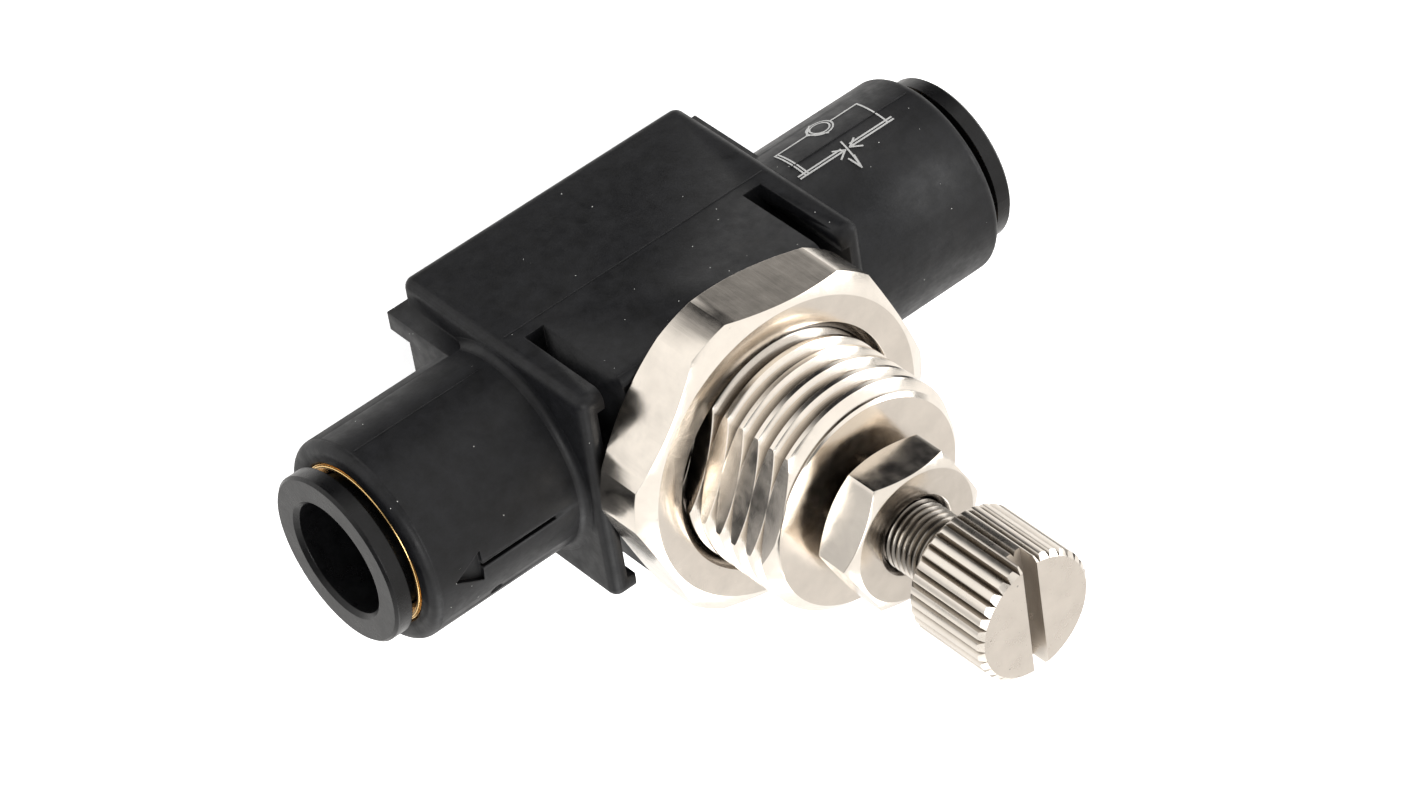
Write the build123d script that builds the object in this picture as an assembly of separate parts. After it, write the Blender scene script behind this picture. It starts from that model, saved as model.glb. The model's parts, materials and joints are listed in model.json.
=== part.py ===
from build123d import *
import os
from math import cos, pi, radians, sin, tan

# In-line flow control valve, millimetres.  The origin is on the screw axis, in the flat
# back face.  +Z runs up the adjusting screw to the knob, the tube axis lies along X, and
# the controlled flow runs towards +X.  Every other size is worked out from these.

# Tube sockets and block
TUBE_R = 4.0             # 8 mm tube
TUBE_CLEARANCE = 0.15    # round the tube, in the housing and in the release button
AXIS_HEIGHT = 10.0       # tube axis above the back face
BLOCK_LENGTH = 24.1      # along the tubes
BLOCK_WIDTH = 17.5
FRONT_RISE = 8.9         # front face above the tube axis
BLOCK_FILLET = 0.8
SOCKET_WALL = 1.6        # outside the bore that takes the cartridge
SOCKET_LENGTH = 12.75    # from the end of the block to the mouth
SOCKET_LEAD = 0.25       # chamfer inside the mouth
MOUTH_FILLET = 0.7
TUBE_DEPTH = 13.8        # from the mouth to where a pushed-in tube ends
CARTRIDGE_DEPTH = 10.8   # from the mouth to the shoulder behind the tube seal

# Clip slots beside the front barrel, and the shelves behind the sockets
END_PLATE = 1.85         # from a slot to the end of the block
SLOT_WIDTH = 1.6
SLOT_RISE = 0.95         # slot floor above the tube axis
SLOT_LIP = 1.45          # thickness of the lips at the slot's two ends
SLOT_UNDERCUT = 0.65     # how far the slot widens behind its lips
DUCT_WALL = 1.85         # left round the tube's way where a slot crosses it
SHELF_REACH = 1.4        # how far a shelf stands out past the block
SHELF_INSET = 0.8        # outer face of a shelf, inside the socket's radius
SHELF_THICKNESS = 1.5
SHELF_ROOT = 1.0         # how far a shelf is carried into the block
SHELF_WEB_DROP = 0.45    # how far the web reaches behind the socket

# Push-in cartridge, from the tube outwards and from the seal to the mouth
BUTTON_WALL = 0.8        # stem of the release button
BUTTON_GAP = 0.1         # round the stem, and before the grip ring
SLEEVE_WALL = 0.85       # at the lip that the button slides in
SLEEVE_STEP = 0.25       # how far the sleeve widens behind its lip
SLEEVE_SETBACK = 0.2     # sleeve end behind the mouth
SLEEVE_LIP_LENGTH = 3.2
SLEEVE_LEAD = 0.5
SEAL_CLEARANCE = 0.02    # on each side of the tube seal
BACKING_THICKNESS = 1.4
BACKING_CLEARANCE = 0.1  # round the tube's way
BACKING_CONE = 0.25      # how far the cone stays outside the teeth
BACKING_LAND = 0.3       # straight length below the cone
GRIP_THICKNESS = 0.3
GRIP_TEETH = 12
GRIP_BITE = 0.05         # tooth tips inside the tube's surface
GRIP_RIM_INSET = 0.1     # inner edge of the ring's flat rim, inside the sleeve's lip
GRIP_LEAN = 0.75         # how far the tooth tips lie behind the rim
GRIP_SLOT = 0.45
BUTTON_BEAD = 0.15       # how far its bead stands out of the stem
BUTTON_BEAD_LENGTH = 1.4
BUTTON_TRAVEL = 0.8
BUTTON_RIM = 0.35        # flange outside the sleeve
BUTTON_FLANGE = 1.3
BUTTON_CHAMFER = 0.3
BUTTON_BEVEL = 0.2

# Flow passages and the stepped bore on the screw axis
PASSAGE_R = 1.7
SUPPLY_DROP = 3.7        # passage from the inlet pocket, behind the tube axis
DELIVERY_RISE = 1.8      # passage to the outlet pocket, before the tube axis
STEP_MARGIN = 0.2        # from the supply passage to the middle bore
PLUG_MARGIN = 0.1        # from the delivery passage to the bonnet's bore
LOWER_BORE_R = 3.6
MIDDLE_BORE_R = 4.6
PLUG_R = 6.6             # bore that takes the bonnet
FIT_GAP = 0.05           # small parts that slip into each other

# Seat carrier with its orifice and check seal
CARRIER_FLANGE = 0.8
CARRIER_CLEARANCE = 0.3  # round the cage, in the middle bore
CARRIER_WALL = 1.0
CARRIER_DROP = 0.2       # how far the cage reaches into the lower bore
CARRIER_FLOOR = 2.0
COLLAR_DROP = 0.1        # underside of the collar below the floor's upper face
COLLAR = 0.5             # collar above the check seal
LAND_CLEARANCE = 0.2     # round the land, in the lower bore
SEAL_LAND = 0.5
GROOVE_DEPTH = 0.4       # groove that holds the check seal
ORIFICE_R = 1.35
SEAT_CONE = 0.7          # height of the conical seat
SEAT_TOP_R = 2.1
WINDOW_WIDTH = 2.8
WINDOW_HEIGHT = 2.4
WINDOWS = 4
CUP_STRETCH = 0.02       # between the cup seal and its groove
CUP_WALL = 0.4           # ring part of the cup seal
CUP_ROOT = 0.72          # where the lip leaves the ring
CUP_ROOT_RISE = 0.6
CUP_LIP = 0.22           # thickness of the lip's edge
CUP_LIP_RISE = 0.15
CUP_SHOULDER = 0.35      # upper rim inside the lip's edge

# Bonnet with its outer thread
THREAD_R = 8.4           # crest of the panel thread, 17 mm nominal
THREAD_PITCH = 1.5
THREAD_DEPTH = 0.9
CREST_FLAT = 0.18
THREAD_LENGTH = 12.9
THREAD_CHAMFER = 0.85
FLAT_ANGLE = -25.5       # direction that a flat milled on the thread faces, from +X
BONNET_SEAL_R = 0.75     # section radius
SEAL_SIDE = 0.15         # groove beside the bonnet's seal
BORE_SHOULDER = 7.8      # length of the bonnet's own screw thread, below its end

# Adjusting screw, drawn part open
SCREW_R = 2.5            # M5 crest
SCREW_PITCH = 0.5
SCREW_DEPTH = 0.3
SCREW_CREST = 0.06
SCREW_GAP = 0.05         # round the screw, in the bonnet and in the lock nut
LIFT = 2.5               # above the closed position
LIFT_LEFT = 1.5          # further travel to fully open
STOP_GAP = 0.1
SEAT_GAP = 0.3           # from the closed piston to the seat carrier
NEEDLE_GAP = 0.1         # round the needle in the orifice
NEEDLE_TIP_R = 0.55
NEEDLE_LENGTH = 3.2
STEM_R = 1.95
PISTON_RIM = 0.9         # piston outside the screw's crest
PISTON_GAP = 0.1
PISTON_SEAL_R = 0.63
PISTON_SEAL_GAP = 0.04
PISTON_GROOVE = 1.7
PISTON_GROOVE_LIFT = 1.4  # groove above the piston's lower end

# Nuts and knob
PANEL_NUT_WALL = 3.0     # from the thread's crests to a flat
PANEL_NUT_TURNING = 1.9  # turned corners outside the flats, on the diameter
PANEL_NUT_THICKNESS = 5.0
PANEL_NUT_TURN = -99.2   # direction that one flat faces, from +X
NUT_GAP = 0.05           # between the panel thread's crests and the nut
COUNTERSINK = 0.6
LOCK_NUT_WALL = 2.5
LOCK_NUT_TURNING = 1.65
LOCK_NUT_THICKNESS = 3.5
LOCK_NUT_TURN = -94.3
LOCK_NUT_GAP = 1.2       # as drawn, between the bonnet and the backed-off nut
LOCK_COUNTERSINK = 0.4
NUT_CONE = 30.0          # angle of the turned corners
NUT_FACE = 0.965         # round face inside the flats, as a share of them
KNOB_R = 4.7
KNOB_LENGTH = 6.9
KNOB_GAP = 4.25          # from the lock nut to the knob
KNOB_RIDGES = 32
KNURL_DEPTH = 0.42
KNURL_FLANK = 0.4        # where a ridge's crest starts, as a share of its step
KNURL_CREST = 0.2        # width of the crest, as a share of its step
KNOB_CHAMFER = 0.35
KNOB_SLOT_WIDTH = 1.2
KNOB_SLOT_DEPTH = 1.5
SPIGOT_STEP = 0.6        # spigot inside the screw's crest
SPIGOT_LENGTH = 4.2

# Places and radii that follow from the sizes above
BLOCK_HEIGHT = AXIS_HEIGHT + FRONT_RISE
MOUTH = BLOCK_LENGTH / 2 + SOCKET_LENGTH
TUBE_STOP = MOUTH - TUBE_DEPTH
WAY_R = TUBE_R + TUBE_CLEARANCE
STEM_OUTER_R = WAY_R + BUTTON_WALL
SLEEVE_LIP_R = STEM_OUTER_R + BUTTON_GAP
CARTRIDGE_R = SLEEVE_LIP_R + SLEEVE_WALL
SOCKET_R = CARTRIDGE_R + SOCKET_WALL
SEAL_SEAT = MOUTH - CARTRIDGE_DEPTH
TUBE_SEAL_R = (CARTRIDGE_R - TUBE_R) / 2 - SEAL_CLEARANCE
BACKING_START = SEAL_SEAT + 2 * TUBE_SEAL_R + FIT_GAP
GRIP_START = BACKING_START + BACKING_THICKNESS
GRIP_RIM_R = SLEEVE_LIP_R - GRIP_RIM_INSET
SLEEVE_START = GRIP_START + GRIP_THICKNESS
SLEEVE_END = MOUTH - SLEEVE_SETBACK
SUPPLY_HEIGHT = AXIS_HEIGHT - SUPPLY_DROP
DELIVERY_HEIGHT = AXIS_HEIGHT + DELIVERY_RISE
LOWER_BORE_FLOOR = SUPPLY_HEIGHT - PASSAGE_R
MIDDLE_BORE_FLOOR = SUPPLY_HEIGHT + PASSAGE_R + STEP_MARGIN
PLUG_FLOOR = DELIVERY_HEIGHT + PASSAGE_R + PLUG_MARGIN
PLUG_BOTTOM = PLUG_FLOOR + CARRIER_FLANGE
CARRIER_BOTTOM = MIDDLE_BORE_FLOOR - CARRIER_DROP
CARRIER_FLOOR_TOP = CARRIER_BOTTOM + CARRIER_FLOOR
CARRIER_R = MIDDLE_BORE_R - CARRIER_CLEARANCE
SEAL_LAND_R = LOWER_BORE_R - LAND_CLEARANCE
SEAL_GROOVE_R = SEAL_LAND_R - GROOVE_DEPTH
BONNET_SEAL_HEIGHT = (PLUG_BOTTOM + BLOCK_HEIGHT) / 2
BONNET_END = BLOCK_HEIGHT + THREAD_LENGTH
SHOULDER_HEIGHT = BONNET_END - BORE_SHOULDER
PISTON_R = SCREW_R + PISTON_RIM
PISTON_BORE_R = PISTON_R + PISTON_GAP
PISTON_TOP = SHOULDER_HEIGHT - LIFT_LEFT - STOP_GAP
PISTON_BOTTOM = PLUG_BOTTOM + LIFT + SEAT_GAP
PISTON_GROOVE_LOW = PISTON_BOTTOM + PISTON_GROOVE_LIFT
SPIGOT_R = SCREW_R - SPIGOT_STEP
LOCK_NUT_BOTTOM = BONNET_END + LOCK_NUT_GAP
KNOB_BOTTOM = LOCK_NUT_BOTTOM + LOCK_NUT_THICKNESS + KNOB_GAP
SPIGOT_TOP = KNOB_BOTTOM + SPIGOT_LENGTH


def turned(profile):
    """A closed solid turned about Z from (radius, height) corners."""
    outline = Polyline(*[(r, 0, z) for r, z in profile], close=True)
    return revolve(make_face(outline), Axis.Z, 360)


def rod(radius, low, high):
    return Pos(0, 0, (low + high) / 2) * Cylinder(radius, high - low)


def box(low, high):
    """A box between two opposite corners."""
    size = [b - a for a, b in zip(low, high)]
    middle = [(a + b) / 2 for a, b in zip(low, high)]
    return Pos(*middle) * Box(*size)


def along_tube(solid, side):
    """Lay a solid made about Z along the tube axis, towards +X or -X."""
    return Pos(0, 0, AXIS_HEIGHT) * Rot(0, 90 * side, 0) * solid


def seal_ring(centre_r, section_r, height):
    return Pos(0, 0, height) * Torus(centre_r, section_r)


def thread_profile(crest, depth, pitch, crest_flat, low, high):
    """Corners up the side of a threaded length, as evenly spaced V grooves."""
    count = int((high - low) / pitch)
    start = high - count * pitch
    slope = (pitch - crest_flat) / 2
    corners = [(crest, low)]
    for i in range(count):
        z = start + i * pitch
        corners += [(crest, z), (crest - depth, z + slope), (crest, z + 2 * slope)]
    return corners + [(crest, high)]


def hexagon(across_flats, low, high, turn):
    """A hexagonal prism with one flat facing the given direction."""
    outline = RegularPolygon(across_flats / 2, 6, major_radius=False, rotation=turn + 30)
    return Pos(0, 0, low) * extrude(outline, high - low)


def cone_trim(flats, corners, low, high):
    """Envelope whose two ends are turned to cones that leave a round face inside the flats."""
    face_r = NUT_FACE * flats / 2
    drop = (corners / 2 - face_r) * tan(radians(NUT_CONE))
    return turned([
        (0, low), (face_r, low), (corners / 2, low + drop),
        (corners / 2, high - drop), (face_r, high), (0, high),
    ])


def countersunk_bore(radius, sink, low, high):
    """The tool for a hole that widens by 45 degrees at both faces."""
    return turned([
        (0, low), (radius + sink, low), (radius, low + sink),
        (radius, high - sink), (radius + sink, high), (0, high),
    ])


def make_nut(wall, turning, bore_r, crest_r, sink, low, thickness, turn):
    """A hexagonal nut with turned corners and a countersunk bore."""
    flats = 2 * (crest_r + wall)
    high = low + thickness
    nut = hexagon(flats, low, high, turn) & cone_trim(flats, flats + turning, low, high)
    return nut - countersunk_bore(bore_r, sink, low, high)


def cartridge_pocket():
    """The tool for one socket's stepped bore, about Z from the screw axis."""
    return turned([
        (0, TUBE_STOP), (WAY_R, TUBE_STOP), (WAY_R, SEAL_SEAT), (CARTRIDGE_R, SEAL_SEAT),
        (CARTRIDGE_R, MOUTH - SOCKET_LEAD), (CARTRIDGE_R + SOCKET_LEAD, MOUTH), (0, MOUTH),
    ])


def clip_slots():
    """The tools for the two slots that run through the block beside the barrel."""
    half = BLOCK_WIDTH / 2
    lip = half - SLOT_LIP
    floor, face = AXIS_HEIGHT + SLOT_RISE, BLOCK_HEIGHT
    outer = BLOCK_LENGTH / 2 - END_PLATE
    inner = outer - SLOT_WIDTH
    slot = box((inner, -half, floor), (outer, half, face))
    slot += box((inner, -lip, floor), (outer + SLOT_UNDERCUT, lip, face))
    slot -= along_tube(rod(WAY_R + DUCT_WALL, inner, outer + SLOT_UNDERCUT), 1)
    return [slot, mirror(slot, Plane.YZ)]


def end_shelves():
    """Two shelves and the web between them, which stand out behind the +X socket."""
    start, end = BLOCK_LENGTH / 2 - SHELF_ROOT, BLOCK_LENGTH / 2 + SHELF_REACH
    outer = SOCKET_R - SHELF_INSET
    inner = outer - SHELF_THICKNESS
    shelf = box((start, inner, 0), (end, outer, AXIS_HEIGHT))
    web_back = AXIS_HEIGHT - SOCKET_R - SHELF_WEB_DROP
    web = box((start, -inner, web_back), (end, inner, AXIS_HEIGHT))
    return [shelf, mirror(shelf, Plane.XZ), web]


def make_housing():
    half_length, half_width = BLOCK_LENGTH / 2, BLOCK_WIDTH / 2
    block = box((-half_length, -half_width, 0), (half_length, half_width, BLOCK_HEIGHT))
    block = fillet(block.edges(), BLOCK_FILLET)
    shelves = end_shelves()
    block += shelves + [mirror(piece, Plane.YZ) for piece in shelves]
    barrel = rod(SOCKET_R, 0, MOUTH)
    barrel = fillet(barrel.edges().group_by(Axis.Z)[-1], MOUTH_FILLET)
    for side in (1, -1):
        block += along_tube(barrel, side)
    for side in (1, -1):
        block -= along_tube(cartridge_pocket(), side)
    for slot in clip_slots():
        block -= slot
    block -= rod(LOWER_BORE_R, LOWER_BORE_FLOOR, MIDDLE_BORE_FLOOR)
    block -= rod(MIDDLE_BORE_R, MIDDLE_BORE_FLOOR, PLUG_FLOOR)
    block -= rod(PLUG_R, PLUG_FLOOR, BLOCK_HEIGHT)
    passage = rod(PASSAGE_R, 0, TUBE_STOP)
    supply = Pos(0, 0, -SUPPLY_DROP) * along_tube(passage, -1)
    delivery = Pos(0, 0, DELIVERY_RISE) * along_tube(passage, 1)
    return block - supply - delivery


def make_bonnet():
    groove_r = PLUG_R - 2 * BONNET_SEAL_R
    groove_low = BONNET_SEAL_HEIGHT - BONNET_SEAL_R - SEAL_SIDE
    groove_high = BONNET_SEAL_HEIGHT + BONNET_SEAL_R + SEAL_SIDE
    outside = [(PLUG_R, PLUG_BOTTOM), (PLUG_R, groove_low), (groove_r, groove_low)]
    outside += [(groove_r, groove_high), (PLUG_R, groove_high), (PLUG_R, BLOCK_HEIGHT)]
    thread_top = BONNET_END - THREAD_CHAMFER
    outside += thread_profile(THREAD_R, THREAD_DEPTH, THREAD_PITCH, CREST_FLAT, BLOCK_HEIGHT, thread_top)
    outside.append((THREAD_R - THREAD_CHAMFER, BONNET_END))
    bore_r = SCREW_R + SCREW_GAP
    inside = [(bore_r + LOCK_COUNTERSINK, BONNET_END), (bore_r, BONNET_END - LOCK_COUNTERSINK)]
    inside += [(bore_r, SHOULDER_HEIGHT), (PISTON_BORE_R, SHOULDER_HEIGHT), (PISTON_BORE_R, PLUG_BOTTOM)]
    body = turned(outside + inside)
    flat = THREAD_R - THREAD_DEPTH
    cutter = box((flat, -THREAD_R, BLOCK_HEIGHT), (THREAD_R, THREAD_R, BONNET_END))
    for turn in (FLAT_ANGLE, FLAT_ANGLE + 180):
        body -= Rot(0, 0, turn) * cutter
    return body


def make_bonnet_seal():
    return seal_ring(PLUG_R - BONNET_SEAL_R, BONNET_SEAL_R, BONNET_SEAL_HEIGHT)


def make_seat_carrier():
    """Cage with the orifice, its seat and the groove for the check seal."""
    land_top = CARRIER_BOTTOM + SEAL_LAND
    collar_low = CARRIER_FLOOR_TOP - COLLAR_DROP
    flange_r = PLUG_R - FIT_GAP
    bore_r = CARRIER_R - CARRIER_WALL
    cage = turned([
        (ORIFICE_R, CARRIER_BOTTOM), (SEAL_LAND_R, CARRIER_BOTTOM), (SEAL_LAND_R, land_top),
        (SEAL_GROOVE_R, land_top), (SEAL_GROOVE_R, collar_low), (CARRIER_R, collar_low),
        (CARRIER_R, PLUG_FLOOR), (flange_r, PLUG_FLOOR), (flange_r, PLUG_BOTTOM),
        (bore_r, PLUG_BOTTOM), (bore_r, CARRIER_FLOOR_TOP), (SEAT_TOP_R, CARRIER_FLOOR_TOP),
        (ORIFICE_R, CARRIER_FLOOR_TOP - SEAT_CONE),
    ])
    low = CARRIER_FLOOR_TOP + COLLAR
    window = box((0, -WINDOW_WIDTH / 2, low), (MIDDLE_BORE_R, WINDOW_WIDTH / 2, low + WINDOW_HEIGHT))
    for i in range(WINDOWS):
        cage -= Rot(0, 0, i * 360 / WINDOWS) * window
    return cage


def make_check_seal():
    """Cup seal whose thin lip leans down and out to the middle bore."""
    inner = SEAL_GROOVE_R + CUP_STRETCH
    low = CARRIER_BOTTOM + SEAL_LAND + FIT_GAP
    high = CARRIER_FLOOR_TOP - COLLAR_DROP - FIT_GAP
    lip_r = MIDDLE_BORE_R - FIT_GAP
    lip_low = max(low, MIDDLE_BORE_FLOOR + FIT_GAP)
    return turned([
        (inner, low), (inner + CUP_WALL, low), (inner + CUP_ROOT, low + CUP_ROOT_RISE),
        (lip_r - CUP_LIP, lip_low), (lip_r, lip_low + CUP_LIP_RISE),
        (lip_r - CUP_SHOULDER, high), (inner, high),
    ])


def make_screw():
    """Needle, sealed piston, threaded shank and the spigot that carries the knob."""
    slope = (SEAT_TOP_R - ORIFICE_R) / SEAT_CONE
    needle_r = ORIFICE_R - NEEDLE_GAP
    cone_low = CARRIER_FLOOR_TOP - SEAT_CONE - (NEEDLE_GAP - FIT_GAP) / slope + LIFT
    cone_high = cone_low + (STEM_R - needle_r) / slope
    groove_high = PISTON_GROOVE_LOW + PISTON_GROOVE
    groove_r = PISTON_BORE_R - 2 * (PISTON_SEAL_R + PISTON_SEAL_GAP)
    profile = [(0, cone_low - NEEDLE_LENGTH), (NEEDLE_TIP_R, cone_low - NEEDLE_LENGTH)]
    profile += [(needle_r, cone_low), (STEM_R, cone_high), (STEM_R, PISTON_BOTTOM)]
    profile += [(PISTON_R, PISTON_BOTTOM), (PISTON_R, PISTON_GROOVE_LOW), (groove_r, PISTON_GROOVE_LOW)]
    profile += [(groove_r, groove_high), (PISTON_R, groove_high), (PISTON_R, PISTON_TOP)]
    profile += thread_profile(SCREW_R, SCREW_DEPTH, SCREW_PITCH, SCREW_CREST, PISTON_TOP, KNOB_BOTTOM)
    profile += [(SPIGOT_R, KNOB_BOTTOM), (SPIGOT_R, SPIGOT_TOP), (0, SPIGOT_TOP)]
    return turned(profile)


def make_screw_seal():
    centre_r = PISTON_BORE_R - PISTON_SEAL_GAP - PISTON_SEAL_R
    return seal_ring(centre_r, PISTON_SEAL_R, PISTON_GROOVE_LOW + PISTON_GROOVE / 2)


def make_knob():
    """Straight-knurled knob with a screwdriver slot across its face."""
    top = KNOB_BOTTOM + KNOB_LENGTH
    step = 2 * pi / KNOB_RIDGES
    root_r = KNOB_R - KNURL_DEPTH
    corners = []
    for i in range(KNOB_RIDGES):
        for share, radius in ((0, root_r), (KNURL_FLANK, KNOB_R), (KNURL_FLANK + KNURL_CREST, KNOB_R)):
            angle = (i + share) * step
            corners.append((radius * cos(angle), radius * sin(angle)))
    star = make_face(Polyline(*corners, close=True))
    grip = Pos(0, 0, KNOB_BOTTOM) * extrude(star, KNOB_LENGTH)
    face_r = KNOB_R - KNOB_CHAMFER
    grip &= turned([
        (0, KNOB_BOTTOM), (face_r, KNOB_BOTTOM), (KNOB_R, KNOB_BOTTOM + KNOB_CHAMFER),
        (KNOB_R, top - KNOB_CHAMFER), (face_r, top), (0, top),
    ])
    grip -= rod(SPIGOT_R, KNOB_BOTTOM, SPIGOT_TOP)
    half = KNOB_SLOT_WIDTH / 2
    return grip - box((-half, -KNOB_R, top - KNOB_SLOT_DEPTH), (half, KNOB_R, top))


def make_panel_nut():
    return make_nut(PANEL_NUT_WALL, PANEL_NUT_TURNING, THREAD_R + NUT_GAP, THREAD_R, COUNTERSINK,
                    BLOCK_HEIGHT, PANEL_NUT_THICKNESS, PANEL_NUT_TURN)


def make_lock_nut():
    return make_nut(LOCK_NUT_WALL, LOCK_NUT_TURNING, SCREW_R + SCREW_GAP, SCREW_R, LOCK_COUNTERSINK,
                    LOCK_NUT_BOTTOM, LOCK_NUT_THICKNESS, LOCK_NUT_TURN)


def make_tube_seal():
    centre_r = CARTRIDGE_R - SEAL_CLEARANCE - TUBE_SEAL_R
    return seal_ring(centre_r, TUBE_SEAL_R, SEAL_SEAT + SEAL_CLEARANCE + TUBE_SEAL_R)


def make_backing_ring():
    """Plastic ring between the tube seal and the grip ring, coned to clear the teeth."""
    inner = WAY_R + BACKING_CLEARANCE
    cone_low = BACKING_START + BACKING_LAND
    return turned([
        (inner, BACKING_START), (CARTRIDGE_R, BACKING_START), (CARTRIDGE_R, GRIP_START),
        (GRIP_RIM_R + BACKING_CONE, GRIP_START), (inner + BACKING_CONE, cone_low), (inner, cone_low),
    ])


def make_grip_ring():
    """Steel ring with teeth that lean inwards, away from the mouth."""
    tooth_r = TUBE_R - GRIP_BITE
    ring = turned([
        (CARTRIDGE_R, GRIP_START), (CARTRIDGE_R, SLEEVE_START), (GRIP_RIM_R, SLEEVE_START),
        (tooth_r, SLEEVE_START - GRIP_LEAN), (tooth_r, GRIP_START - GRIP_LEAN), (GRIP_RIM_R, GRIP_START),
    ])
    slot = box((0, -GRIP_SLOT / 2, GRIP_START - GRIP_LEAN), (GRIP_RIM_R, GRIP_SLOT / 2, SLEEVE_START))
    for i in range(GRIP_TEETH):
        ring -= Rot(0, 0, i * 360 / GRIP_TEETH) * slot
    return ring


def make_sleeve():
    """Brass sleeve pressed into the mouth, which holds the grip ring and the button's bead."""
    lip_start = SLEEVE_END - SLEEVE_LIP_LENGTH
    wide_r = SLEEVE_LIP_R + SLEEVE_STEP
    return turned([
        (wide_r, SLEEVE_START), (CARTRIDGE_R, SLEEVE_START), (CARTRIDGE_R, SLEEVE_END),
        (SLEEVE_LIP_R + SLEEVE_LEAD, SLEEVE_END), (SLEEVE_LIP_R, SLEEVE_END - SLEEVE_LEAD),
        (SLEEVE_LIP_R, lip_start), (wide_r, lip_start),
    ])


def make_release_button():
    """Collar that slides in the sleeve: nose, bead, stem and flange."""
    bevel = BUTTON_BEVEL
    bead_r = STEM_OUTER_R + BUTTON_BEAD
    bead_end = SLEEVE_END - SLEEVE_LIP_LENGTH - BUTTON_GAP
    bead_start = bead_end - BUTTON_BEAD_LENGTH
    nose = SLEEVE_START + BUTTON_GAP + BUTTON_TRAVEL
    flange_r = CARTRIDGE_R + BUTTON_RIM
    flange_start = MOUTH + BUTTON_GAP / 2 + BUTTON_TRAVEL
    end = flange_start + BUTTON_FLANGE
    return turned([
        (WAY_R, nose + bevel), (WAY_R + bevel, nose), (STEM_OUTER_R - bevel, nose),
        (STEM_OUTER_R, nose + bevel), (STEM_OUTER_R, bead_start), (bead_r, bead_start + BUTTON_BEAD),
        (bead_r, bead_end), (STEM_OUTER_R, bead_end), (STEM_OUTER_R, flange_start),
        (flange_r, flange_start), (flange_r, end - bevel), (flange_r - bevel, end),
        (WAY_R + BUTTON_CHAMFER, end), (WAY_R, end - BUTTON_CHAMFER),
    ])


os.makedirs("parts", exist_ok=True)

valve = {
    "housing": make_housing(),
    "bonnet": make_bonnet(),
    "bonnet_o_ring": make_bonnet_seal(),
    "panel_nut": make_panel_nut(),
    "lock_nut": make_lock_nut(),
    "adjusting_screw": make_screw(),
    "screw_o_ring": make_screw_seal(),
    "knob": make_knob(),
    "seat_carrier": make_seat_carrier(),
    "check_seal": make_check_seal(),
}
cartridge = {
    "tube_seal": make_tube_seal(),
    "backing_ring": make_backing_ring(),
    "grip_ring": make_grip_ring(),
    "sleeve": make_sleeve(),
    "release_button": make_release_button(),
}
for end, side in (("inlet", -1), ("outlet", 1)):
    for name, solid in cartridge.items():
        valve[f"{end}_{name}"] = along_tube(solid, side)

for name, solid in valve.items():
    export_step(solid, f"parts/{name}.step")
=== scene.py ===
import json
from math import atan2, cos, pi, radians, sin

import bpy
from bpy.props import FloatProperty, FloatVectorProperty, PointerProperty
from mathutils import Matrix, Vector

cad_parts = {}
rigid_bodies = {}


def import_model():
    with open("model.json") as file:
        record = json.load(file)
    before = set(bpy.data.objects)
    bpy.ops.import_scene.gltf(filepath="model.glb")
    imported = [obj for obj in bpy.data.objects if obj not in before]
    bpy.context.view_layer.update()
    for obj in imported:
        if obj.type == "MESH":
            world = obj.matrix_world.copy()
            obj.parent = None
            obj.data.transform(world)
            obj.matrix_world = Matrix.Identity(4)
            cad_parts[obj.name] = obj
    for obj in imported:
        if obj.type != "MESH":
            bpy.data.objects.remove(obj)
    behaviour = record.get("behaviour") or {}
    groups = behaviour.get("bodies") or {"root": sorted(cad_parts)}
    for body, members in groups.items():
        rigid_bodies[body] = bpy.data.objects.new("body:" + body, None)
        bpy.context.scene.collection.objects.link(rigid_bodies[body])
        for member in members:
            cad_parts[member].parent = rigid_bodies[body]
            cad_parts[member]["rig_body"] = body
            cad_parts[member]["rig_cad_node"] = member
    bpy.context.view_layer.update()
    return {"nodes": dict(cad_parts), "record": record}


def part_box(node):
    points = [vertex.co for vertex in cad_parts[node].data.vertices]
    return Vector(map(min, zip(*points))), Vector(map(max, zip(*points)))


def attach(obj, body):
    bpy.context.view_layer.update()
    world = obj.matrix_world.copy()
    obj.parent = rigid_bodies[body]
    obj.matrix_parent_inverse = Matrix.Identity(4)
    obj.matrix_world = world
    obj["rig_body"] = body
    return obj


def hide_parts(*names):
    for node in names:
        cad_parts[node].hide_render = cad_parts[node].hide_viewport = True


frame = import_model()

bl_info = {
    "name": "Flow Control Valve",
    "version": (1, 0, 0),
    "blender": (4, 5, 0),
    "location": "3D View > Sidebar > Valve",
    "description": "Finishes an in-line flow control valve with push-in sockets",
    "category": "Object",
}

MM = 0.001
SNAP = 0.0002 * MM       # how close a cut has to pass to a corner to use it
WELD = 0.0005 * MM       # corners nearer than this are made one
LOOSE_WELD = 0.002 * MM  # the same, on shapes that are spun or cut more than once
THROUGH = 1 * MM         # how far a cutting tool reaches past what it cuts
ENDS = (("inlet", -1), ("outlet", 1))

# Places read from the frame
BLOCK_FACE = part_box("panel_nut")[0].z
BONNET_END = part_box("bonnet")[1].z
BONNET_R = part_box("bonnet")[1].y
KNOB_LOW, KNOB_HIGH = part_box("knob")[0].z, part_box("knob")[1].z
AXIS_HEIGHT = (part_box("outlet_sleeve")[0].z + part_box("outlet_sleeve")[1].z) / 2
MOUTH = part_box("housing")[1].x
BLOCK_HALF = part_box("housing")[1].y
BLOCK_END = 12.05 * MM   # end faces of the block, where the sockets start
MOUTH_ROUND = 0.7 * MM   # rounding of each socket's mouth


# ---------------------------------------------------------------- settings

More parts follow.
